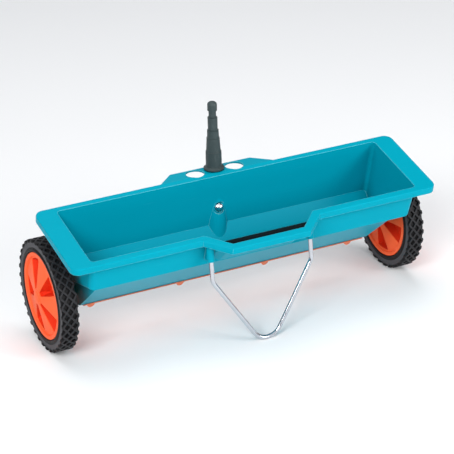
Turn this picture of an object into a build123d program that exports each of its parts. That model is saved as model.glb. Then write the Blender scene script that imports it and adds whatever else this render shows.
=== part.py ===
from build123d import *
import os
from math import asin, atan2, cos, hypot, radians, sin, tan

os.makedirs("parts", exist_ok=True)

# ---------------------------------------------------------------------------
# Driving dimensions, mm and degrees.  The hopper is drawn level in its own
# frame, whose X axis is the axle's centre line.  It is then pitched forward
# onto its stand and lifted onto its wheels.  "Front" is -Y.
# ---------------------------------------------------------------------------
PITCH = 13.5             # forward lean of the parked hopper
FIT_GAP = 0.05           # radial clearance of every running fit

# Wheels: X is measured outward from the middle of the machine
WHEEL_R = 90.0
TYRE_IN = 289.4
TYRE_OUT = 318.2
TYRE_SHOULDER = 3.0
DISC_IN = 290.4
DISC_OUT = 316.8
DISC_R = 68.9
KEY_R = 71.5             # rib round the wheel that keeps the tyre on
KEY_HALF = 5.0
RING_R = 62.0
STEP_AT_RIM = 2.7        # the spokes' faces start this far inside the rim ring
RISE_AT_HUB = 6.0        # and stand this far outside it at the hub
HUB_R = 13.0
HUB_FACE = 323.4
SLEEVE_R = 10.5          # the hub runs on inward as a sleeve
SLEEVE_IN = 277.5
POCKETS = 5
POCKET_IN_R = 13.5
POCKET_OUT_R = 60.5
POCKET_SPREAD = 17.0     # half angle of a pocket's sides
POCKET_TAPER = 14.0
WEB_HALF = 2.2           # the disc left between two opposite pockets
LEFT_PHASE = 69.0        # direction of one pocket, from the rear towards the top
RIGHT_PHASE = 52.0
CAP_SEAT_R = 8.0
CAP_SEAT_DEPTH = 6.0
CAP_R = 9.6
CAP_RISE = 1.5
CAP_WALL = 1.3
CAP_PLUG = 2.6

# Axle and feed roller
AXLE_R = 5.0
AXLE_END = 321.9
ROLLER_R = 16.9
END_GAP = 1.0            # between the roller and the funnel's end walls
FLUTES = 16
FLUTE_R = 1.9
PIN_R = 2.0
ROLLER_PIN_X = 190.0
WHEEL_PIN_X = 281.0
RIGHT_BUSH_R = 7.0       # outside of the bush in the free wheel
BUSH_R = 8.0
BUSH_FLANGE_R = 11.0
BUSH_FLANGE_T = 2.5
BUSH_OUT = 4.0           # a bush stands this far out of the end wall
SPACER_GAP = 0.4
SPACER_R = 8.0
NUT_PLATE_R = 7.6        # the spring plate that locks on the end of the axle
NUT_PLATE_X = 317.9
NUT_PLATE_T = 1.2

# Hopper
WALL = 2.4
RIM_Z = 126.0            # top of the rim above the axle
RIM_HALF = 313.3
RIM_FRONT = -107.6
RIM_REAR = 48.6
RIM_CORNER = 14.0
RIM_ROUND = 1.6
LIP_DEPTH = 10.8
LIP_WALL = 2.2
OPEN_HALF = 279.6
OPEN_FRONT = -96.0
OPEN_REAR = 38.0
OPEN_CORNER = 6.0
END_DRAFT = 0.060        # lean of each wall, mm per mm of depth
FRONT_DRAFT = 0.0714
REAR_DRAFT = 0.055
FOLD_Z = 70.0            # the front wall turns in to the funnel here
CREASE_Z = 34.7          # the rear wall turns in to the funnel here
FUNNEL_LEFT = -268.0     # outside of the funnel's end walls
FUNNEL_RIGHT = 240.0
FLOOR_CORNER = 8.0       # inside radius where the ends turn in to the floor
VALLEY = (16.5, 17.0)    # foot of the rear slope outside the funnel, Y and Z
CHIN = (-38.0, -2.9)     # lowest point of the front of the funnel, Y and Z
TROUGH_R = 17.5          # the half pipe that the roller turns in
TROUGH_FRONT = 219.7     # its front and rear edges, from the rear towards the top
TROUGH_REAR = 405.5
KEEL_ANGLE = 244.0       # where the flat bottom meets the trough

# Front bulge of the rim and of the opening
BULGE_FOOT = 100.0
BULGE_CORNER = 66.8
BULGE_FRONT = -141.4
BULGE_EDGE = 10.0        # flange width round the bulge

# Rear deck, level when the hopper is parked
DECK_HINGE = RIM_REAR - RIM_ROUND
DECK_FOOT = 100.0
DECK_CORNER = 71.0
DECK_REAR = 76.2
DECK_T = 3.0
HANG_HOLE_X = 34.5
HANG_HOLE_Y = 59.4
HANG_HOLE_R = 15.0

# Handle adapter and its socket
STUB_Y = 61.6
SPIGOT_R = 10.8
SPIGOT_DEPTH = 80.0
SOCKET_TOP_R = 14.2
SOCKET_FOOT_R = 18.6
SOCKET_LENGTH = 118.0
CROSS_DEPTH = 61.5       # depth of the cross bolt below the deck
BOLT_R = 3.0
BOLT_HEAD_R = 8.6
BOLT_HEAD_H = 6.0
HEAD_SEAT = 14.0         # from the socket's axis to the seat of the bolt's head
HEAD_POCKET_R = 10.2
NUT_SEAT = 13.6
NUT_POCKET_R = 10.5
WASHER_R = 9.0
WASHER_T = 1.6
NUT_FLATS = 10.0
NUT_T = 5.0
STUB_STEPS = (           # radius at the foot and at the top, height of the top
    (12.8, 12.6, 31.0),
    (11.7, 10.4, 54.0),
    (9.4, 9.2, 67.0),
    (7.8, 7.8, 88.5),
    (5.9, 5.9, 98.8),
)
STUB_TOP = 115.0
STUB_HEAD_R = 7.7
STUB_DOME = 5.0
COLLAR_R = 16.6
COLLAR_H = 6.0

# Stand
WIRE_R = 3.5
WIRE_LEAN = 6.3          # the wire's plane leans back from its toe, degrees
LEG_X = 85.7
LEG_Y = -110.5           # mouth of a leg socket, in the hopper's frame
LEG_Z = 85.0
LEG_DROP = 34.1          # from the socket's mouth to the knee, along the wire's plane
LEG_BEND = 16.0
TOE_BEND = 27.0
LEG_PEG = 24.0           # length inside the socket
LEG_SOCKET_R = 6.0
LEG_SOCKET_RISE = 40.0

# Metering slide
SLIDE_LEFT = -262.0
SLIDE_RIGHT = 232.0
SLIDE_T = 1.6
SLIDE_GAP = 0.4
SLIDE_TRAVEL = 12.0
SLIDE_FRONT = -39.6
SLIDE_REAR_ANGLE = 300.0
OUTLET_PITCH = 24.0
OUTLETS = 20
OUTLET_LONG = 10.0
OUTLET_WIDE = 3.6
LUG_X = (-250.0, -98.0, 52.0, 204.0)
LUG_HALF = 6.5
LUG_T = 3.0
LUG_DROP = 5.5
SCREW_X = (-180.0, -60.0, 60.0, 180.0)
SCREW_R = 2.0
SCREW_HEAD_R = 5.0
SCREW_HEAD_T = 2.2
SCREW_BACK = 14.0        # from the trough's keel to a screw, along the flat bottom

# ---------------------------------------------------------------------------
# Frames and small helpers
# ---------------------------------------------------------------------------
TILT = radians(PITCH)
FRONT_REACH = BULGE_FRONT * cos(TILT) - RIM_Z * sin(TILT)
AXLE_Y = -(FRONT_REACH + WHEEL_R) / 2
AXLE_FRAME = Pos(0, AXLE_Y, WHEEL_R)
HOPPER_FRAME = AXLE_FRAME * Rot(PITCH, 0, 0)
DECK_FRAME = Pos(0, DECK_HINGE, RIM_Z) * Rot(-PITCH, 0, 0)
DECK_SLOPE = 1 / cos(TILT)
STUB_Z = RIM_Z - (STUB_Y - DECK_HINGE) * tan(TILT)
STUB_FRAME = Pos(0, STUB_Y, STUB_Z) * Rot(-PITCH, 0, 0)
CROSS_FRAME = STUB_FRAME * Pos(0, 0, -CROSS_DEPTH) * Rot(90, 0, 0)  # +Z to the front
UPWARD = (Align.CENTER, Align.CENTER, Align.MIN)
FOLD_Y = OPEN_FRONT + FRONT_DRAFT * (RIM_Z - FOLD_Z)
CREASE_Y = OPEN_REAR - REAR_DRAFT * (RIM_Z - CREASE_Z)


def prism(points, start, end):
    """A section drawn in Y and Z, run along X from start to end."""
    section = make_face(Polyline(*points, close=True))
    return extrude(Plane.YZ.offset(start) * section, amount=end - start)


def tube_x(outer, inner, start, end):
    """A tube, or a rod when inner is 0, along X."""
    disc = Circle(outer)
    if inner > 0:
        disc = disc - Circle(inner)
    return extrude(Plane.YZ.offset(start) * disc, amount=end - start)


def post(radius, low, high):
    """A rod along the local Z axis."""
    return Pos(0, 0, low) * Cylinder(radius, high - low, align=UPWARD)


def polar(radius, angle):
    return radius * cos(radians(angle)), radius * sin(radians(angle))


def arc(radius, first, last, count):
    step = (last - first) / (count - 1)
    return [polar(radius, first + step * i) for i in range(count)]


def mirrored(shape):
    return mirror(shape, about=Plane.YZ)


def turned(profile):
    """A profile of (X, radius) points turned about the axle."""
    face = make_face(Polyline(*profile, close=True))
    return revolve(face, axis=Axis.X)


# ---------------------------------------------------------------------------
# Hopper: one moulding
# ---------------------------------------------------------------------------
def tub_section(z, inset):
    """Rounded rectangle inside the upright walls at one height."""
    depth = RIM_Z - z
    half = OPEN_HALF - END_DRAFT * depth - inset
    front = OPEN_FRONT + FRONT_DRAFT * depth + inset
    rear = OPEN_REAR - REAR_DRAFT * depth - inset
    plan = RectangleRounded(2 * half, rear - front, OPEN_CORNER - inset)
    return Pos(0, (front + rear) / 2, z) * plan


def floor_rounding(inset):
    """Block that rounds the lower corners of the tub's ends, along the falling floor."""
    valley_y, valley_z = VALLEY
    slope = Vector(0, valley_y - FOLD_Y, valley_z - FOLD_Z)
    low = inset if inset > 0 else inset * 1.05
    half = OPEN_HALF - END_DRAFT * (RIM_Z - FOLD_Z) - inset
    plane = Plane(origin=(0, FOLD_Y, FOLD_Z), x_dir=(1, 0, 0), z_dir=slope)
    lean = END_DRAFT * 200
    points = [(-half, low), (half, low), (half + lean, 200), (-half - lean, 200)]
    flip = -1 if plane.y_dir.Z < 0 else 1
    face = make_face(Polyline(*[(x, flip * y) for x, y in points], close=True))
    bottom = face.vertices().sort_by(lambda v: abs(v.Y))[:2]
    return extrude(plane * fillet(bottom, FLOOR_CORNER - inset), amount=260, both=True)


def upright(inset):
    """The tub outside the funnel: its walls stand on a floor that falls to the rear."""
    tub = loft([tub_section(RIM_Z, inset), tub_section(0, inset)])
    valley_y, valley_z = VALLEY
    drop = inset * 1.12
    shift = inset * 1.4
    fall = (valley_z - FOLD_Z) / (valley_y - FOLD_Y)
    climb = (CREASE_Z - valley_z) / (CREASE_Y - valley_y)
    front_y = FOLD_Y - 60
    rear_y = CREASE_Y + 60
    outline = [
        (front_y, FOLD_Z + fall * (front_y - FOLD_Y) + drop),
        (valley_y - shift * 0.5, valley_z + drop - fall * shift * 0.5),
        (rear_y, CREASE_Z + climb * (rear_y - CREASE_Y + shift)),
        (rear_y, 2 * RIM_Z), (front_y, 2 * RIM_Z),
    ]
    return tub & prism(outline, -RIM_HALF, RIM_HALF) & floor_rounding(inset)


def keel_line(radius, front_y):
    """Front end of the flat bottom that meets a circle about the axle smoothly."""
    y, z = polar(radius, KEEL_ANGLE)
    fall = tan(radians(KEEL_ANGLE - 270))
    return front_y, z + (front_y - y) * fall


def funnel_inside():
    chin_y, chin_z = CHIN
    front = [(FOLD_Y, FOLD_Z), (chin_y + 2.0, chin_z + 2.4)]
    trough = arc(TROUGH_R, TROUGH_FRONT, TROUGH_REAR, 25)
    top = [(CREASE_Y, CREASE_Z), (CREASE_Y - 8, FOLD_Z + 14), (FOLD_Y + 8, FOLD_Z + 14)]
    return prism(front + trough + top, FUNNEL_LEFT + WALL, FUNNEL_RIGHT - WALL)


def funnel_outside():
    outer = TROUGH_R + WALL
    lip_y, lip_z = polar(TROUGH_R, TROUGH_REAR)
    front = [(FOLD_Y - WALL, FOLD_Z), keel_line(outer, CHIN[0] - 0.6)]
    trough = arc(outer, KEEL_ANGLE, 351, 15)
    rear = [(lip_y + 6.2, lip_z - 1.0), (CREASE_Y + WALL, CREASE_Z)]
    top = [(CREASE_Y - 8, FOLD_Z + 14), (FOLD_Y + 8, FOLD_Z + 14)]
    return prism(front + trough + rear + top, FUNNEL_LEFT, FUNNEL_RIGHT)


def bulge(inset):
    """The front bulge: a trapezoid at the rim that dies out at the fold."""
    foot = BULGE_FOOT - BULGE_EDGE * 0.56 - inset * 0.55
    corner = BULGE_CORNER - BULGE_EDGE * 0.44 - inset * 0.55
    front = BULGE_FRONT + BULGE_EDGE + inset
    wall_y = OPEN_FRONT - WALL + inset
    back = OPEN_FRONT + 14
    points = [(-foot, wall_y, RIM_Z), (foot, wall_y, RIM_Z)]
    points += [(-corner, front, RIM_Z), (corner, front, RIM_Z)]
    points += [(-foot, back, RIM_Z), (foot, back, RIM_Z)]
    fold_y = FOLD_Y - WALL + inset
    points += [(-corner, fold_y, FOLD_Z), (corner, fold_y, FOLD_Z)]
    points += [(-foot, back, FOLD_Z), (foot, back, FOLD_Z)]
    return ConvexPolyhedron(points)


def rim_outline(inset):
    """Plan of the flange with its front bulge."""
    depth = RIM_REAR - RIM_FRONT - 2 * inset
    middle = (RIM_REAR + RIM_FRONT) / 2
    plate = Pos(0, middle) * RectangleRounded(2 * (RIM_HALF - inset), depth, RIM_CORNER - inset)
    foot = BULGE_FOOT - inset * 0.4
    corner = BULGE_CORNER - inset * 0.4
    back = RIM_FRONT + 20
    front = BULGE_FRONT + inset
    bump = Polyline((-foot, back), (-foot, RIM_FRONT + inset), (-corner, front), (corner, front),
                    (foot, RIM_FRONT + inset), (foot, back), close=True)
    return Pos(0, 0, RIM_Z) * (plate + make_face(bump))


def rim():
    """The flat flange and its downturned lip."""
    body = extrude(rim_outline(0), amount=-LIP_DEPTH)
    body = fillet(body.edges().group_by(Axis.Z)[-1], RIM_ROUND)
    hollow = Pos(0, 0, -WALL) * rim_outline(LIP_WALL)
    return body - extrude(hollow, amount=-LIP_DEPTH)


def deck():
    """The level deck behind the rim."""
    foot_y = (RIM_REAR - DECK_HINGE) * DECK_SLOPE
    rear_y = (DECK_REAR - DECK_HINGE) * DECK_SLOPE
    plan = Polyline((-DECK_FOOT, 0), (-DECK_FOOT, foot_y), (-DECK_CORNER, rear_y),
                    (DECK_CORNER, rear_y), (DECK_FOOT, foot_y), (DECK_FOOT, 0), close=True)
    body = extrude(make_face(plan), amount=-DECK_T)
    edges = body.edges().group_by(Axis.Z)[-1].sort_by(Axis.Y)[-3:]
    body = fillet(edges, RIM_ROUND)
    return DECK_FRAME * body


def hang_frames():
    """Places of the two hanging holes on the deck, in the deck's frame."""
    hole_y = (HANG_HOLE_Y - DECK_HINGE) * DECK_SLOPE
    return [Pos(side * HANG_HOLE_X, hole_y, 0) for side in (-1, 1)]


def adapter_socket():
    """Tapered tube that holds the handle adapter; its front half shows in the tub."""
    cone = Cone(SOCKET_FOOT_R, SOCKET_TOP_R, SOCKET_LENGTH, align=UPWARD)
    return STUB_FRAME * Pos(0, 0, -SOCKET_LENGTH) * cone


def leg_frame(side):
    """Frame at the mouth of a leg socket, with +Z up along the wire."""
    return Pos(side * LEG_X, LEG_Y, LEG_Z) * Rot(-PITCH - WIRE_LEAN, 0, 0)


def leg_socket(side):
    rib = post(LEG_SOCKET_R, 0, LEG_SOCKET_RISE)
    web_depth = 22.0
    web = Box(LEG_SOCKET_R * 1.3, web_depth, LEG_SOCKET_RISE, align=(Align.CENTER, Align.MIN, Align.MIN))
    return leg_frame(side) * (rib + web)


def keel_frame(x):
    """Frame on the flat bottom at a guide screw, with +Z pointing out of the hopper."""
    y, z = polar(TROUGH_R + WALL, KEEL_ANGLE)
    along = radians(KEEL_ANGLE - 90)
    y += SCREW_BACK * cos(along)
    z += SCREW_BACK * sin(along)
    return Pos(x, y, z) * Rot(KEEL_ANGLE - 90, 0, 0)


def outlet_cutter(x):
    return Pos(x, 0, -TROUGH_R - WALL) * Box(OUTLET_LONG, OUTLET_WIDE, 14)


def outlet_places(shift):
    first = (FUNNEL_LEFT + FUNNEL_RIGHT) / 2 - (OUTLETS - 1) / 2 * OUTLET_PITCH + shift
    return [first + OUTLET_PITCH * i for i in range(OUTLETS)]


def slide_rail():
    """Hooked rail behind the trough that keeps the slide's rear edge up."""
    inner = TROUGH_R + WALL
    top = inner + SLIDE_GAP * 2 + SLIDE_T
    root = SLIDE_REAR_ANGLE + 2.5
    hook = arc(inner - 0.6, root, root + 9, 4)
    hook += arc(top + 1.6, root + 9, root - 8, 6)
    hook += arc(top, root - 8, root, 4)
    return prism(hook, FUNNEL_LEFT + 4, FUNNEL_RIGHT - 4)


def build_hopper():
    shell = upright(-WALL) + funnel_outside() + bulge(0) + rim() + deck()
    shell = shell + leg_socket(-1) + leg_socket(1) + slide_rail()
    shell = shell - upright(0) - bulge(WALL) - funnel_inside()
    shell = shell + adapter_socket()
    shell = shell - tube_x(TROUGH_R, 0, FUNNEL_LEFT + WALL, FUNNEL_RIGHT - WALL)
    shell = shell - STUB_FRAME * post(SPIGOT_R, -SPIGOT_DEPTH, 1)
    shell = shell - CROSS_FRAME * post(BOLT_R, -30, 30)
    shell = shell - CROSS_FRAME * post(HEAD_POCKET_R, HEAD_SEAT, 24)
    shell = shell - CROSS_FRAME * post(NUT_POCKET_R, -30, -NUT_SEAT)
    for frame in hang_frames():
        shell = shell - DECK_FRAME * frame * post(HANG_HOLE_R, -30, 5)
    for side in (-1, 1):
        shell = shell - leg_frame(side) * post(WIRE_R, -1, LEG_PEG)
    shell = shell - tube_x(BUSH_R, 0, FUNNEL_LEFT - 1, FUNNEL_RIGHT + 1)
    for x in outlet_places(0):
        shell = shell - outlet_cutter(x)
    for x in SCREW_X:
        shell = shell - keel_frame(x) * post(SCREW_R, -2.6, 1)
    return shell


# ---------------------------------------------------------------------------
# Handle adapter and the bolt that pins it
# ---------------------------------------------------------------------------
def build_adapter():
    points = [(0, -SPIGOT_DEPTH), (SPIGOT_R, -SPIGOT_DEPTH), (SPIGOT_R, 0)]
    points += [(COLLAR_R - 3.4, 0), (COLLAR_R, 2.2), (COLLAR_R, 3.8), (STUB_STEPS[0][0], COLLAR_H)]
    for foot, top, height in STUB_STEPS:
        if points[-1][0] != foot:
            points.append((foot, points[-1][1]))
        points.append((top, height))
    points.append((STUB_HEAD_R, points[-1][1] + 1.2))
    points.append((STUB_HEAD_R, STUB_TOP - STUB_DOME))
    dome = [(STUB_HEAD_R * cos(radians(a)), STUB_TOP - STUB_DOME + STUB_DOME * sin(radians(a)))
            for a in (25, 50, 70)]
    points += dome + [(0, STUB_TOP)]
    profile = Plane.XZ * make_face(Polyline(*points, close=True))
    body = STUB_FRAME * revolve(profile, axis=Axis.Z)
    return body - CROSS_FRAME * post(BOLT_R, -30, 30)


def build_bolt():
    tip = -NUT_SEAT - WASHER_T - NUT_T - 2.5
    shank = post(BOLT_R, tip, HEAD_SEAT)
    ball = (BOLT_HEAD_R ** 2 + BOLT_HEAD_H ** 2) / (2 * BOLT_HEAD_H)
    centre = HEAD_SEAT + BOLT_HEAD_H - ball
    dome = Pos(0, 0, centre) * Sphere(ball)
    head = dome & post(BOLT_HEAD_R + 1, HEAD_SEAT, HEAD_SEAT + 10)
    return CROSS_FRAME * (shank + head)


def build_washer():
    ring = post(WASHER_R, -NUT_SEAT - WASHER_T, -NUT_SEAT)
    return CROSS_FRAME * (ring - post(BOLT_R, -30, 0))


def build_nut():
    top = -NUT_SEAT - WASHER_T
    hexagon = Pos(0, 0, top) * RegularPolygon(NUT_FLATS / 2, 6, major_radius=False)
    body = extrude(hexagon, amount=-NUT_T)
    return CROSS_FRAME * (body - post(BOLT_R, -40, 0))


# ---------------------------------------------------------------------------
# Stand: one bent wire with both ends up in the leg sockets
# ---------------------------------------------------------------------------
def build_stand():
    """The wire is flat; heights in its plane are measured from the toe's centre line."""
    lean = radians(WIRE_LEAN)
    mouth_y = AXLE_Y + LEG_Y * cos(TILT) - LEG_Z * sin(TILT)
    mouth_z = LEG_Y * sin(TILT) + LEG_Z * cos(TILT) + WHEEL_R
    mouth = (mouth_z - WIRE_R) / cos(lean)
    knee = mouth - LEG_DROP
    rise = knee - TOE_BEND
    splay = atan2(LEG_X, rise) - asin(TOE_BEND / hypot(LEG_X, rise))
    apex = knee - LEG_X / tan(splay)
    top = mouth + LEG_PEG
    flat = [(-LEG_X, top), (-LEG_X, knee), (0, apex), (LEG_X, knee), (LEG_X, top)]
    route = [(x, mouth_y + (s - mouth) * sin(lean), WIRE_R + s * cos(lean)) for x, s in flat]
    path = FilletPolyline(*route, radius=[LEG_BEND, TOE_BEND, LEG_BEND])
    start = Plane(origin=path @ 0, z_dir=path % 0)
    return sweep(start * Circle(WIRE_R), path=path)


# ---------------------------------------------------------------------------
# Metering slide and its guide screws
# ---------------------------------------------------------------------------
def build_slide():
    inner = TROUGH_R + WALL + SLIDE_GAP
    outer = inner + SLIDE_T
    profile = [keel_line(inner, SLIDE_FRONT)] + arc(inner, KEEL_ANGLE, SLIDE_REAR_ANGLE, 10)
    profile += arc(outer, SLIDE_REAR_ANGLE, KEEL_ANGLE, 10) + [keel_line(outer, SLIDE_FRONT)]
    body = prism(profile, SLIDE_LEFT, SLIDE_RIGHT)
    edge_y, edge_z = keel_line(outer, SLIDE_FRONT)
    for x in LUG_X:
        below = Rectangle(4 * LUG_HALF, 4 * LUG_HALF, align=(Align.CENTER, Align.MAX))
        tab = below & Pos(0, LUG_HALF - LUG_DROP) * Circle(LUG_HALF)
        lug = extrude(Plane.XZ * tab, amount=LUG_T)
        body = body + Pos(x, edge_y + LUG_T, edge_z) * lug
    for x in outlet_places(-SLIDE_TRAVEL):
        body = body - outlet_cutter(x)
    for x in SCREW_X:
        slot = SlotCenterToCenter(SLIDE_TRAVEL + 1, 2 * SCREW_R + 0.8)
        cut = extrude(Pos(-SLIDE_TRAVEL / 2, 0, -1) * slot, amount=5)
        body = body - keel_frame(x) * cut
    return body


def build_guide_screws():
    screws = []
    foot = 2 * SLIDE_GAP + SLIDE_T
    for x in SCREW_X:
        shank = post(SCREW_R, -2.6, foot)
        head = post(SCREW_HEAD_R, foot, foot + SCREW_HEAD_T)
        head = fillet(head.edges().group_by(Axis.Z)[-1], 1.0)
        slot = Pos(0, 0, foot + SCREW_HEAD_T) * Box(2 * SCREW_HEAD_R, 1.0, 1.6)
        screws.append(keel_frame(x) * (shank + head - slot))
    return Compound(screws)


# ---------------------------------------------------------------------------
# Axle, feed roller and their pins: one turning body
# ---------------------------------------------------------------------------
def pin_hole(x):
    return Pos(x, 0, 0) * post(PIN_R, -40, 40)


def build_axle():
    rod = tube_x(AXLE_R, 0, -AXLE_END, AXLE_END)
    rod = chamfer(rod.edges(), 0.8)
    for x in (-ROLLER_PIN_X, ROLLER_PIN_X, -WHEEL_PIN_X):
        rod = rod - pin_hole(x)
    return rod


def build_roller():
    section = Circle(ROLLER_R) - Circle(AXLE_R)
    for i in range(FLUTES):
        y, z = polar(ROLLER_R + 0.5, 360 / FLUTES * i)
        section = section - Pos(y, z) * Circle(FLUTE_R)
    start = FUNNEL_LEFT + WALL + END_GAP
    length = FUNNEL_RIGHT - WALL - END_GAP - start
    body = extrude(Plane.YZ.offset(start) * section, amount=length)
    for x in (-ROLLER_PIN_X, ROLLER_PIN_X):
        body = body - pin_hole(x)
    return body


def build_roller_pins():
    half = ROLLER_R - 3.2
    return Compound([Pos(x, 0, 0) * post(PIN_R, -half, half) for x in (-ROLLER_PIN_X, ROLLER_PIN_X)])


def build_bush(wall):
    """A flanged bush, drawn on the right, in an end wall whose outside is at this X."""
    sleeve = tube_x(BUSH_R, AXLE_R + FIT_GAP, wall - WALL, wall + BUSH_OUT)
    flange = tube_x(BUSH_FLANGE_R, AXLE_R + FIT_GAP, wall, wall + BUSH_FLANGE_T)
    return sleeve + flange


def build_spacer(wall):
    return tube_x(SPACER_R, AXLE_R, wall + BUSH_OUT + SPACER_GAP, SLEEVE_IN - 0.3)


# ---------------------------------------------------------------------------
# Wheels, drawn on the right (+X) side
# ---------------------------------------------------------------------------
def pocket_sketch(phase, x):
    """The five wedge-shaped pockets between the spokes."""
    far = POCKET_OUT_R * 1.4
    side = far * tan(radians(POCKET_SPREAD))
    wedge = make_face(Polyline((6, -1.0), (far, -side), (far, side), (6, 1.0), close=True))
    pocket = (wedge & Circle(POCKET_OUT_R)) - Circle(POCKET_IN_R)
    pocket = fillet(pocket.vertices(), 1.5)
    turned_pockets = [Rot(0, 0, phase + 360 / POCKETS * i) * pocket for i in range(POCKETS)]
    return [Plane.YZ.offset(x) * one for one in turned_pockets]


def build_wheel(phase, bore):
    middle = (DISC_IN + DISC_OUT) / 2
    profile = [
        (SLEEVE_IN, bore), (SLEEVE_IN, SLEEVE_R), (DISC_IN - RISE_AT_HUB, SLEEVE_R),
        (DISC_IN - RISE_AT_HUB, HUB_R), (DISC_IN + STEP_AT_RIM, RING_R), (DISC_IN, RING_R + 1.2),
        (DISC_IN, DISC_R), (middle - KEY_HALF, DISC_R), (middle - KEY_HALF, KEY_R),
        (middle + KEY_HALF, KEY_R), (middle + KEY_HALF, DISC_R), (DISC_OUT, DISC_R),
        (DISC_OUT, RING_R + 1.2), (DISC_OUT - STEP_AT_RIM, RING_R),
        (DISC_OUT + RISE_AT_HUB, HUB_R), (HUB_FACE, HUB_R - 0.6), (HUB_FACE, bore),
    ]
    body = turned(profile)
    depth = middle - WEB_HALF - DISC_IN
    for pocket in pocket_sketch(phase, DISC_OUT):
        body = body - extrude(pocket, amount=-depth, taper=POCKET_TAPER)
        body = body - extrude(pocket, amount=RISE_AT_HUB + 1)
    for pocket in pocket_sketch(phase, DISC_IN):
        body = body - extrude(pocket, amount=depth, taper=POCKET_TAPER)
        body = body - extrude(pocket, amount=-RISE_AT_HUB - 1)
    return body - tube_x(CAP_SEAT_R, 0, HUB_FACE - CAP_SEAT_DEPTH, HUB_FACE + 1)


def build_tyre():
    middle = (DISC_IN + DISC_OUT) / 2
    low = WHEEL_R - TYRE_SHOULDER
    profile = [
        (TYRE_IN + 1, DISC_R), (TYRE_IN, DISC_R + 2.5), (TYRE_IN, low), (TYRE_IN + TYRE_SHOULDER, WHEEL_R),
        (TYRE_OUT - TYRE_SHOULDER, WHEEL_R), (TYRE_OUT, low), (TYRE_OUT, DISC_R + 2.5),
        (TYRE_OUT - 1, DISC_R), (middle + KEY_HALF, DISC_R), (middle + KEY_HALF, KEY_R),
        (middle - KEY_HALF, KEY_R), (middle - KEY_HALF, DISC_R),
    ]
    return turned(profile)


def build_cap():
    """A thin domed cap whose ring presses into the end of the hub."""
    ring = CAP_SEAT_R - CAP_WALL
    profile = [(HUB_FACE - CAP_PLUG, ring), (HUB_FACE - CAP_PLUG, CAP_SEAT_R), (HUB_FACE, CAP_SEAT_R)]
    profile += [(HUB_FACE + CAP_RISE * sin(radians(a)), CAP_R * cos(radians(a)) ** 0.6)
                for a in (0, 25, 50, 70, 85)]
    profile += [(HUB_FACE + CAP_RISE, 0), (HUB_FACE + CAP_RISE - CAP_WALL, 0)]
    profile += [(HUB_FACE + CAP_RISE - CAP_WALL, ring * 0.5), (HUB_FACE, ring)]
    return turned(profile)


def build_push_nut():
    return tube_x(NUT_PLATE_R, AXLE_R, NUT_PLATE_X, NUT_PLATE_X + NUT_PLATE_T)


def build_wheel_pin():
    half = SLEEVE_R + 1.4
    return Pos(-WHEEL_PIN_X, 0, 0) * post(PIN_R, -half, half)


left_wheel = mirrored(build_wheel(LEFT_PHASE, AXLE_R)) - pin_hole(-WHEEL_PIN_X)
right_wheel = build_wheel(RIGHT_PHASE, RIGHT_BUSH_R)
wheel_bush = tube_x(RIGHT_BUSH_R, AXLE_R + FIT_GAP, SLEEVE_IN, HUB_FACE - CAP_SEAT_DEPTH)

HOPPER_NODES = {
    "hopper": build_hopper(),
    "handle_adapter": build_adapter(),
    "adapter_bolt": build_bolt(),
    "adapter_washer": build_washer(),
    "adapter_nut": build_nut(),
    "metering_slide": build_slide(),
    "guide_screws": build_guide_screws(),
}
AXLE_NODES = {
    "left_axle_bush": mirrored(build_bush(-FUNNEL_LEFT)),
    "right_axle_bush": build_bush(FUNNEL_RIGHT),
    "axle": build_axle(),
    "feed_roller": build_roller(),
    "roller_pins": build_roller_pins(),
    "left_spacer": mirrored(build_spacer(-FUNNEL_LEFT)),
    "right_spacer": build_spacer(FUNNEL_RIGHT),
    "left_wheel": left_wheel,
    "left_tyre": mirrored(build_tyre()),
    "left_wheel_pin": build_wheel_pin(),
    "left_push_nut": mirrored(build_push_nut()),
    "left_hub_cap": mirrored(build_cap()),
    "right_wheel": right_wheel,
    "right_tyre": build_tyre(),
    "right_wheel_bush": wheel_bush,
    "right_push_nut": build_push_nut(),
    "right_hub_cap": build_cap(),
}

for name, shape in HOPPER_NODES.items():
    export_step(HOPPER_FRAME * shape, "parts/" + name + ".step")
for name, shape in AXLE_NODES.items():
    export_step(AXLE_FRAME * shape, "parts/" + name + ".step")
export_step(build_stand(), "parts/stand_wire.step")
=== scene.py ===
import math

import bmesh
import bpy
from mathutils import Matrix, Vector


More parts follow.
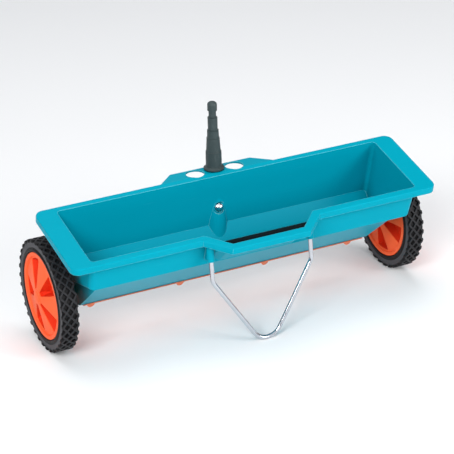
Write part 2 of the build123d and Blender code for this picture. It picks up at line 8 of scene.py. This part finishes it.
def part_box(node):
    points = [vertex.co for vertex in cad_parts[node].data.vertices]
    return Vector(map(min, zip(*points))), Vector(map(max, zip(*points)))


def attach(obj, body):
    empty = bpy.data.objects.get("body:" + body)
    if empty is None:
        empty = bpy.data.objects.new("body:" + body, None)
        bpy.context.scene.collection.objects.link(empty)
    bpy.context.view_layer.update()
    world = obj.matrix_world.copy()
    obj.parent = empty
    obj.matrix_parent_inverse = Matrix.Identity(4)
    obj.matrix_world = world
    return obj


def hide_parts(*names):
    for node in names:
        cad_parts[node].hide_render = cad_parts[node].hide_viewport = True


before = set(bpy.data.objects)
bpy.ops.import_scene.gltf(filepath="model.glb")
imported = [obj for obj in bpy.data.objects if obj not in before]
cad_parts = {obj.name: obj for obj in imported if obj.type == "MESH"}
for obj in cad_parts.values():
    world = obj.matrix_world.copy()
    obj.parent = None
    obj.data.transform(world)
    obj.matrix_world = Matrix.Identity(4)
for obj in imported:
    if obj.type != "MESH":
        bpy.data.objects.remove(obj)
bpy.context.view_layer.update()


# --- Hopper ---------------------------------------------------------------
# The hopper is one injection moulding in satin turquoise polypropylene: tub,
# flange, rear deck, funnel and leg sockets together.  Its skin has the faint
# orange peel of the mould, and its edges catch the light along a small radius.
# A pale cyan painted highlight lies along those edges, and painted shade
# darkens its corners and hollows.
class Shade:
    """A value, colour or vector in one material: sums on it add Math nodes."""

    def __init__(self, tree, socket):
        self.tree = tree
        self.socket = socket

    def node(self, kind, settings, inputs, output=0):
        """Adds one node: its settings first, then a value or a link on each socket."""
        added = self.tree.nodes.new("ShaderNode" + kind)
        for setting, value in settings.items():
            if setting == "stops":
                ramp = added.color_ramp
                while len(ramp.elements) < len(value):
                    ramp.elements.new(0.5)
                for element, (position, colour) in zip(ramp.elements, value):
                    element.position = position
                    element.color = colour
            else:
                setattr(added, setting, value)
        for key, value in inputs.items():
            if isinstance(value, Shade):
                self.tree.links.new(value.socket, added.inputs[key])
            else:
                added.inputs[key].default_value = value
        if len(added.outputs) == 0:
            return None
        return Shade(self.tree, added.outputs[output])

    def sum_of(self, operation, first, second):
        return self.node("Math", {"operation": operation}, {0: first, 1: second})

    def __add__(self, other):
        return self.sum_of("ADD", self, other)

    def __radd__(self, other):
        return self.sum_of("ADD", other, self)

    def __sub__(self, other):
        return self.sum_of("SUBTRACT", self, other)

    def __rsub__(self, other):
        return self.sum_of("SUBTRACT", other, self)

    def __mul__(self, other):
        return self.sum_of("MULTIPLY", self, other)

    def __rmul__(self, other):
        return self.sum_of("MULTIPLY", other, self)

    def __truediv__(self, other):
        return self.sum_of("DIVIDE", self, other)

    def __rtruediv__(self, other):
        return self.sum_of("DIVIDE", other, self)

    def __pow__(self, other):
        return self.sum_of("POWER", self, other)

    def __rpow__(self, other):
        return self.sum_of("POWER", other, self)

    def __abs__(self):
        return self.sum_of("ABSOLUTE", self, 0.0)


def open_finish(name):
    """A new material, and the place on the piece that all of its patterns start from."""
    finish = bpy.data.materials.new(name)
    finish.use_nodes = True
    finish.node_tree.nodes.clear()
    place = Shade(finish.node_tree, None).node("TexCoord", {}, {}, "Object")
    return finish, place


def close_finish(place, **skin):
    """The surface shader of a finish, put on its output."""
    sockets = {key.replace("_", " "): value for key, value in skin.items()}
    shader = place.node("BsdfPrincipled", {}, sockets)
    place.node("OutputMaterial", {}, {"Surface": shader})


def mottle(place, size, detail=2.0, stretch=(1, 1, 1)):
    """Noise whose spots are about this many metres across, drawn out along an axis by stretch."""
    scale = [1 / (size * each) for each in stretch]
    scaled = place.node("VectorMath", {"operation": "MULTIPLY"}, {0: place, 1: scale})
    return scaled.node("TexNoise", {}, {"Vector": scaled, "Scale": 1.0, "Detail": detail})


def step_up(value, low, high):
    """0 below low, 1 above high, and smooth between."""
    smooth = {"interpolation_type": "SMOOTHSTEP"}
    return value.node("MapRange", smooth, {"Value": value, "From Min": low, "From Max": high})


def mixed(share, first, second):
    """A colour between two others."""
    colours = {"data_type": "RGBA"}
    return share.node("Mix", colours, {0: share, 6: first, 7: second}, 2)


def relief(height, depth, below=None):
    """A bumped normal: height from 0 to 1 stands this many metres high."""
    inputs = {"Height": height, "Distance": depth}
    if below is not None:
        inputs["Normal"] = below
    return height.node("Bump", {}, inputs)


def rounded_edges(place, radius):
    """A normal that rounds each edge by this radius, and how strongly the edge turns there."""
    rounded = place.node("Bevel", {"samples": 4}, {"Radius": radius})
    flat = place.node("NewGeometry", {}, {}, "Normal")
    facing = place.node("VectorMath", {"operation": "DOT_PRODUCT"}, {0: rounded, 1: flat}, 1)
    return rounded, step_up(1 - facing, 0.02, 0.30)


def dress(finish, *names):
    """Puts a finish on CAD pieces."""
    for name in names:
        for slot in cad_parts[name].material_slots:
            slot.material = finish


EDGE_RADIUS = 0.0015
PAINTED_SHADE_REACH = 0.045
TURQUOISE = (0.0002, 0.320, 0.430, 1)
TURQUOISE_DEEP = (0.0002, 0.288, 0.390, 1)
# This pale cyan is the painted highlight along edges, and also the colour that scuffs lean
# toward.
TURQUOISE_HIGHLIGHT_AND_SCUFF = (0.30, 0.86, 0.93, 1)
# This deep turquoise is painted shade for corners and hollows.
TURQUOISE_PAINTED_SHADE = (0.0002, 0.110, 0.145, 1)

turquoise, place = open_finish("turquoise_polypropylene")
edge_normal, wear_and_edge_highlight = rounded_edges(place, EDGE_RADIUS)
peel = mottle(place, 0.0013)
flow = mottle(place, 0.090, 3.0, (3, 1, 1))
scuffs = step_up(mottle(place, 0.0016, 4.0, (22, 1, 1)), 0.66, 0.74) * 0.35
# Painted shade: ambient occlusion finds corners and hollows, and they are mixed toward deep
# turquoise.
openness_for_painted_shade = place.node("AmbientOcclusion", {"samples": 8}, {"Distance": PAINTED_SHADE_REACH}, "AO")
clear_of_painted_shade = step_up(openness_for_painted_shade, 0.10, 0.70)
body_colour_with_painted_shade = mixed(clear_of_painted_shade, TURQUOISE_PAINTED_SHADE, mixed(flow, TURQUOISE_DEEP, TURQUOISE))
# Edges get a painted highlight of pale cyan; the scuffs, which are wear, lean faintly the same
# way.
scuffs_and_painted_highlight_colour = mixed(wear_and_edge_highlight * 0.75 + scuffs * 0.08, body_colour_with_painted_shade, TURQUOISE_HIGHLIGHT_AND_SCUFF)
close_finish(
    place,
    Base_Color=scuffs_and_painted_highlight_colour,
    Roughness=0.27 + flow * 0.06 + scuffs * 0.25,
    Specular_IOR_Level=0.03,
    Normal=relief(peel, 0.000022, edge_normal),
)
dress(turquoise, "hopper")


# --- Handle adapter -------------------------------------------------------
# The adapter is a stepped stub in dark glass-filled nylon that a long tool
# handle snaps over.  It is moulded in two halves of a tool, which leaves a fine
# parting line down each side and an eroded, slightly sparkling grain.
SLATE = (0.028, 0.044, 0.045, 1)
SLATE_LIGHT = (0.058, 0.078, 0.079, 1)
ADAPTER_LOW, ADAPTER_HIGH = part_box("handle_adapter")
ADAPTER_Y = (ADAPTER_LOW.y + ADAPTER_HIGH.y) / 2

slate, place = open_finish("slate_nylon")
across = place.node("SeparateXYZ", {}, {0: place}, 1)
parting = 1 - step_up(abs(across - ADAPTER_Y), 0.00012, 0.00045)
grain = mottle(place, 0.00055, 3.0)
cloud = mottle(place, 0.012, 3.0)
wear_and_edge_highlight = step_up(mottle(place, 0.0035, 5.0, (1, 1, 3)), 0.52, 0.72)
close_finish(
    place,
    Base_Color=mixed(cloud * 0.5 + wear_and_edge_highlight * 0.35, SLATE, SLATE_LIGHT),
    Roughness=0.44 + grain * 0.14,
    Specular_IOR_Level=0.35,
    Normal=relief(grain * 0.45 + parting * 0.55, 0.00011),
)
dress(slate, "handle_adapter")


# --- Cross bolt, washer and nut -------------------------------------------
# A bright domed bolt passes through the boss and the adapter's spigot, with a
# plain washer and a nut behind.  The dome is polished and plated; the washer
# and nut are zinc plated, cloudy and a little softer in their shine.
bright, place = open_finish("polished_plate")
haze = mottle(place, 0.004, 3.0)
swirl = mottle(place, 0.0007, 2.0, (1, 6, 1))
close_finish(
    place,
    Base_Color=mixed(haze, (0.80, 0.81, 0.83, 1), (0.92, 0.93, 0.94, 1)),
    Metallic=1.0,
    Roughness=0.08 + haze * 0.08 + swirl * 0.05,
    Normal=relief(swirl, 0.000010),
)
dress(bright, "adapter_bolt")

zinc, place = open_finish("zinc_plate")
spangle = place.node("TexVoronoi", {}, {"Vector": place, "Scale": 420.0}, "Color")
spangle = spangle.node("SeparateColor", {}, {0: spangle}, 0)
cloud = mottle(place, 0.006, 4.0)
close_finish(
    place,
    Base_Color=mixed(spangle * 0.4 + cloud * 0.6, (0.44, 0.45, 0.47, 1), (0.68, 0.69, 0.69, 1)),
    Metallic=1.0,
    Roughness=0.26 + cloud * 0.16 + spangle * 0.06,
    Normal=relief(mottle(place, 0.0008), 0.000018),
)
dress(zinc, "adapter_washer", "adapter_nut")


# --- Stand wire -----------------------------------------------------------
# The stand is one length of 7 mm drawn steel wire, bent three times and bright
# plated, with both ends pushed up into the hopper's leg sockets.  Drawing left
# fine lines along it, and the foot is dulled where it meets the ground.
WIRE_LOW, WIRE_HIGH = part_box("stand_wire")

wire, place = open_finish("bright_wire")
height = place.node("SeparateXYZ", {}, {0: place}, 2)
drawn = mottle(place, 0.0006, 2.0, (1, 1, 30))
haze = mottle(place, 0.010, 4.0)
foot = 1 - step_up(height, WIRE_LOW.z + 0.001, WIRE_LOW.z + 0.016)
scratches = step_up(mottle(place, 0.0009, 3.0), 0.50, 0.70) * foot
close_finish(
    place,
    Base_Color=mixed(haze * 0.6 + scratches * 0.4, (0.62, 0.65, 0.70, 1), (0.40, 0.41, 0.44, 1)),
    Metallic=1.0,
    Roughness=0.10 + drawn * 0.10 + scratches * 0.30,
    Normal=relief(drawn, 0.000016),
)
dress(wire, "stand_wire")


# --- Metering slide and guide screws --------------------------------------
# Under the funnel an orange moulded plate slides on four headed screws and
# opens or shuts the row of outlets.  It is the same satin plastic as the
# wheels, with fine rubbing marks along its travel.
ORANGE = (0.93, 0.105, 0.026, 1)
# The deep red is the wheels' painted shade and the pale orange their painted light.
ORANGE_PAINTED_SHADE = (0.72, 0.026, 0.008, 1)
ORANGE_PAINTED_LIGHT = (1.00, 0.165, 0.060, 1)

slide_orange, place = open_finish("slide_orange")
cloud = mottle(place, 0.020, 3.0)
rubs = step_up(mottle(place, 0.0012, 4.0, (16, 1, 1)), 0.58, 0.68)
close_finish(
    place,
    Base_Color=mixed(cloud * 0.5 + rubs * 0.3, (0.55, 0.120, 0.050, 1), (0.72, 0.20, 0.10, 1)),
    Roughness=0.34 + rubs * 0.16,
    Normal=relief(mottle(place, 0.0010), 0.000020),
)
dress(slide_orange, "metering_slide")
dress(zinc, "guide_screws")


# --- Axle, roller, bushes and spacers -------------------------------------
# A zinc plated rod runs right through the machine.  The fluted roller of
# matt black plastic is cross pinned to it, two nylon bushes carry it in the ends
# of the funnel, and two plain sleeves keep the wheels out at their place.
AXLE_LOW, AXLE_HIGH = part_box("axle")
AXLE_Y = (AXLE_LOW.y + AXLE_HIGH.y) / 2
AXLE_Z = (AXLE_LOW.z + AXLE_HIGH.z) / 2

roller_black, place = open_finish("roller_black")
dust = step_up(mottle(place, 0.006, 5.0, (3, 1, 1)), 0.50, 0.75)
close_finish(
    place,
    Base_Color=mixed(dust, (0.005, 0.007, 0.008, 1), (0.014, 0.015, 0.015, 1)),
    Roughness=0.55 + dust * 0.25,
    Specular_IOR_Level=0.15,
    Normal=relief(mottle(place, 0.0009), 0.00004),
)
dress(roller_black, "feed_roller")

black_nylon, place = open_finish("black_nylon")
cloud = mottle(place, 0.004, 4.0)
close_finish(
    place,
    Base_Color=mixed(cloud, (0.014, 0.014, 0.015, 1), (0.034, 0.034, 0.035, 1)),
    Roughness=0.38 + cloud * 0.18,
    Normal=relief(mottle(place, 0.0007), 0.000025),
)
dress(black_nylon, "left_axle_bush", "right_axle_bush", "right_wheel_bush")
dress(black_nylon, "left_spacer", "right_spacer")
dress(zinc, "axle", "roller_pins", "left_wheel_pin", "left_push_nut", "right_push_nut")


# --- Wheels and hub caps --------------------------------------------------
# Each wheel is one moulding in satin red-orange plastic: five broad spokes lie
# proud between five wedge-shaped pockets on both sides and rise to a small hub,
# and a domed cap closes the hub.  Painted shade makes the pockets' floors a
# deeper red, and painted light makes the spokes and the edges paler.
WHEEL_WEB = 0.3036
WHEEL_FACE = 0.0105
WHEEL_RING = 0.0620
WHEEL_HUB = 0.0130
HUB_RISE = 0.0087
WHEEL_EDGE_RADIUS = 0.0008


def from_axle(place):
    """The distance of a place from the axle's centre line."""
    back = place.node("SeparateXYZ", {}, {0: place}, 1) - AXLE_Y
    rise = place.node("SeparateXYZ", {}, {0: place}, 2) - AXLE_Z
    return (back * back + rise * rise) ** 0.5


wheel_orange, place = open_finish("wheel_orange")
along = place.node("SeparateXYZ", {}, {0: place}, 0)
toward_hub = {"Value": from_axle(place), "From Min": WHEEL_RING, "From Max": WHEEL_HUB}
inside_ring = place.node("MapRange", {}, toward_hub)
off_web = abs(abs(along) - WHEEL_WEB)
below_face = off_web - WHEEL_FACE - inside_ring * HUB_RISE
# Painted shade and painted light: pocket floors are painted deeper red, proud spokes paler
# orange.
spoke_painted_light_share = step_up(below_face, -0.0016, -0.0005)
edge_normal, wear_and_edge_highlight = rounded_edges(place, WHEEL_EDGE_RADIUS)
cloud = mottle(place, 0.030, 3.0)
peel = mottle(place, 0.0011)
pocket_painted_shade_colour = mixed(cloud * 0.3, ORANGE_PAINTED_SHADE, ORANGE)
spoke_painted_light_colour = mixed(cloud * 0.6 + 0.2, ORANGE, ORANGE_PAINTED_LIGHT)
painted_spoke_light_and_pocket_shade = mixed(spoke_painted_light_share, pocket_painted_shade_colour, spoke_painted_light_colour)
# The edges get a painted highlight, mixed toward the pale orange.
close_finish(
    place,
    Base_Color=mixed(wear_and_edge_highlight * 0.35, painted_spoke_light_and_pocket_shade, ORANGE_PAINTED_LIGHT),
    Roughness=0.33 + cloud * 0.08,
    Specular_IOR_Level=0.03,
    Normal=relief(peel, 0.000020, edge_normal),
)
dress(wheel_orange, "left_wheel", "right_wheel", "left_hub_cap", "right_hub_cap")


# --- Tyres ----------------------------------------------------------------
# Each tyre is a solid ring of black rubber moulded on the wheel.  Its tread is
# a lattice of ridges that cross at an angle round diamond-shaped pockets; the
# ridges run out over both shoulders as small lugs above a plain grey sidewall.
TREAD_CELLS = 34
CELLS_ACROSS = 2
TREAD_R = 0.0899
POCKET_R = 0.0864
LUG_FOOT_R = 0.0838
LUG_TOP_DROP = 0.0016
SHOULDER_INSET = 0.0012
RIDGE = 0.13
POCKET = 0.20
LUG_INSET = 0.0002
WALL_INSET = 0.0016
SIDEWALL = (
    (0.0830, 0.0016),
    (0.0778, 0.0014),
    (0.0764, 0.0022),
    (0.0748, 0.0016),
    (0.0738, 0.0010),
    (0.0732, 0.0004),
    (0.0712, 0.0004),
    (0.0704, 0.0012),
    (0.0696, 0.0034),
    (0.0692, 0.0050),
)


def build_tyre_mesh(name, inner_x, outer_x):
    """The tread lattice between two faces of a tyre, and its sidewalls, as one closed skin."""
    points = []
    faces = []
    known = {}

    def join(outer, inner, sides):
        """Faces between two rings of points, on this many of their sides."""
        count = len(outer)
        for k in range(sides):
            n = (k + 1) % count
            faces.append((outer[k], outer[n], inner[n], inner[k]))

    low_x = inner_x + SHOULDER_INSET
    width = outer_x - inner_x - 2 * SHOULDER_INSET

    def point(turn, x, radius):
        """The number of a point; turn counts cells round the tyre."""
        key = (round(turn % TREAD_CELLS, 4), round(x, 6), round(radius, 6))
        if key not in known:
            angle = 2 * math.pi * turn / TREAD_CELLS
            y = AXLE_Y + radius * math.cos(angle)
            known[key] = len(points)
            points.append((x, y, AXLE_Z + radius * math.sin(angle)))
        return known[key]

    def tread(p, q, radius):
        """A point of the lattice, by its two diagonal coordinates."""
        return point((p + q) / 2, low_x + width * (p - q) / 2 / CELLS_ACROSS, radius)

    for row in range(2 * CELLS_ACROSS + 1):
        for turn in range(TREAD_CELLS):
            i = turn + (row + 1) // 2
            j = i - row
            rings = []
            for margin, radius in ((0, TREAD_R), (RIDGE, TREAD_R), (POCKET, POCKET_R)):
                corners = [(i + margin, j + margin), (i + 1 - margin, j + margin)]
                corners += [(i + 1 - margin, j + 1 - margin), (i + margin, j + 1 - margin)]
                if row == 0:
                    corners = corners[:3]
                if row == 2 * CELLS_ACROSS:
                    corners = [corners[2], corners[3], corners[0]]
                rings.append([tread(p, q, radius) for p, q in corners])
            for outer, inner in zip(rings, rings[1:]):
                join(outer, inner, 4 if len(outer) == 4 else 2)
            faces.append(tuple(rings[-1]))
    marks = (
        (0, TREAD_R),
        (RIDGE, TREAD_R),
        (POCKET, POCKET_R),
        (1 - POCKET, POCKET_R),
        (1 - RIDGE, TREAD_R),
    )
    for face_x, edge_x, inward in ((inner_x, low_x, 1), (outer_x, low_x + width, -1)):
        loop = []
        for turn in range(TREAD_CELLS):
            for share, radius in marks:
                loop.append((turn + share, radius))
        shoulder = [point(turn, edge_x, radius) for turn, radius in loop]
        rows = [shoulder]
        insets = [LUG_INSET if radius == TREAD_R else WALL_INSET for _, radius in loop]
        for drop in (LUG_TOP_DROP, TREAD_R - LUG_FOOT_R):
            row = []
            for (turn, radius), inset in zip(loop, insets):
                row.append(point(turn, face_x + inward * inset, min(radius, TREAD_R - drop)))
            rows.append(row)
        for radius, inset in SIDEWALL:
            rows.append([point(turn, face_x + inward * inset, radius) for turn, _ in loop])
        for outer, inner in zip(rows, rows[1:]):
            join(outer, inner, len(loop))
        if inward == 1:
            inner_face_ring = rows[-1]
        else:
            join(inner_face_ring, rows[-1], len(loop))
    mesh = bpy.data.meshes.new(name)
    mesh.from_pydata(points, [], faces)
    return mesh


def turn_faces_out(mesh):
    """Makes every face of a closed mesh look outward."""
    skin = bmesh.new()
    skin.from_mesh(mesh)
    bmesh.ops.recalc_face_normals(skin, faces=skin.faces)
    skin.to_mesh(mesh)
    skin.free()


rubber, place = open_finish("black_rubber")
out_from_axle = from_axle(place)
# Ridge tops are painted paler than the pockets: partly a painted highlight, partly rubber bloom.
ridge_top_painted_highlight = step_up(out_from_axle, 0.0884, 0.0897)
under_lugs = 1 - step_up(out_from_axle, 0.0842, 0.0852)
side_band = step_up(out_from_axle, 0.0765, 0.0775) * under_lugs
bloom = mottle(place, 0.005, 4.0)
speck = mottle(place, 0.0008, 3.0)
ridge_highlight_bloom_and_grey_band = ridge_top_painted_highlight * (0.08 + bloom * 0.34) + side_band * (0.75 + bloom * 0.4)
close_finish(
    place,
    Base_Color=mixed(ridge_highlight_bloom_and_grey_band, (0.0030, 0.0027, 0.0034, 1), (0.062, 0.063, 0.070, 1)),
    Roughness=0.48 + bloom * 0.20,
    Specular_IOR_Level=0.25,
    Normal=relief(speck, 0.00005),
)

for side in ("left", "right"):
    low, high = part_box(side + "_tyre")
    name = side + "_tyre_tread"
    tyre = bpy.data.objects.new(name, build_tyre_mesh(name, low.x, high.x))
    turn_faces_out(tyre.data)
    tyre.data.materials.append(rubber)
    bpy.context.scene.collection.objects.link(tyre)
    softened = tyre.modifiers.new("softened_edges", "BEVEL")
    softened.width = 0.00035
    softened.segments = 2
    softened.limit_method = "ANGLE"
    softened.angle_limit = math.radians(28)
    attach(tyre, "drive" if side == "left" else "free_wheel")
    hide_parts(side + "_tyre")


# --- Floor, light and camera ----------------------------------------------
# The machine stands on a plain pale studio floor under a large soft light in
# front and to its left, a softer one on the right and a wide one overhead.
# Pale walls stand all round it, with a dark upright panel on either hand.
AZIMUTH = math.radians(-25.96)
ELEVATION = math.radians(24.61)
ROLL = math.radians(-1.63)
DISTANCE = 3.22287
SIDEWAYS = 0.00081
UPWARD = 0.1223
LENS = 157.7
PALE_WALL = (0.93, 0.96, 1.0, 1)
LEFT_FLAG = (0.10, 0.10, 0.11, 1)
RIGHT_FLAG = (0.06, 0.06, 0.07, 1)
SKY_STRENGTH = 0.85

floor_mesh = bpy.data.meshes.new("studio_floor")
floor_mesh.from_pydata([(-9, -9, 0), (9, -9, 0), (9, 9, 0), (-9, 9, 0)], [], [(0, 1, 2, 3)])
floor = bpy.data.objects.new("studio_floor", floor_mesh)
bpy.context.scene.collection.objects.link(floor)
paper, place = open_finish("studio_paper")
tone = mottle(place, 0.8, 2.0)
close_finish(
    place,
    Base_Color=mixed(tone, (0.90, 0.90, 0.90, 1), (0.92, 0.92, 0.92, 1)),
    Roughness=0.9,
    Specular_IOR_Level=0.1,
)
floor_mesh.materials.append(paper)


def soft_light(name, place, power, width, height):
    """A rectangular light aimed at the middle of the machine."""
    lamp = bpy.data.lights.new(name, "AREA")
    lamp.shape = "RECTANGLE"
    lamp.energy = power
    lamp.size = width
    lamp.size_y = height
    stand = bpy.data.objects.new(name, lamp)
    aim = Vector((0, 0, 0.12)) - Vector(place)
    stand.rotation_euler = aim.to_track_quat("-Z", "Y").to_euler()
    stand.location = place
    bpy.context.scene.collection.objects.link(stand)


soft_light("key_light", (-2.1, -2.2, 2.2), 92, 1.6, 1.2)
soft_light("fill_light", (2.0, -2.6, 1.3), 62, 1.4, 1.4)
soft_light("top_light", (0.0, 0.4, 3.0), 26, 2.6, 2.0)

sky = bpy.data.worlds.new("studio_air")
sky.use_nodes = True
backdrop = Shade(sky.node_tree, sky.node_tree.nodes["Background"].outputs[0])
toward = backdrop.node("TexCoord", {}, {}, "Generated")
sideways = backdrop.node("SeparateXYZ", {}, {0: toward}, 0)
flag_stops = [
    (0.00, PALE_WALL),
    (0.12, LEFT_FLAG),
    (0.26, LEFT_FLAG),
    (0.36, PALE_WALL),
    (0.66, PALE_WALL),
    (0.74, RIGHT_FLAG),
    (0.90, RIGHT_FLAG),
    (0.98, PALE_WALL),
]
walls = backdrop.node("ValToRGB", {"stops": flag_stops}, {0: sideways * 0.5 + 0.5})
air = sky.node_tree.nodes["Background"]
sky.node_tree.links.new(walls.socket, air.inputs["Color"])
air.inputs["Strength"].default_value = SKY_STRENGTH
bpy.context.scene.world = sky
bpy.context.scene.view_settings.view_transform = "Standard"

away = Vector((
    math.sin(AZIMUTH) * math.cos(ELEVATION),
    -math.cos(AZIMUTH) * math.cos(ELEVATION),
    math.sin(ELEVATION),
))
right = Vector((math.cos(AZIMUTH), math.sin(AZIMUTH), 0))
up = away.cross(right)
camera_x = right * math.cos(ROLL) + up * math.sin(ROLL)
camera_y = up * math.cos(ROLL) - right * math.sin(ROLL)
eye = camera_x * SIDEWAYS + camera_y * UPWARD + away * DISTANCE + Vector((0, AXLE_Y, 0))
turned = Matrix((camera_x, camera_y, away)).transposed()
lens = bpy.data.cameras.new("camera")
lens.lens = LENS
lens.sensor_width = 36
lens.clip_end = 50
camera = bpy.data.objects.new("camera", lens)
camera.matrix_world = Matrix.Translation(eye) @ turned.to_4x4()
bpy.context.scene.collection.objects.link(camera)
bpy.context.scene.camera = camera
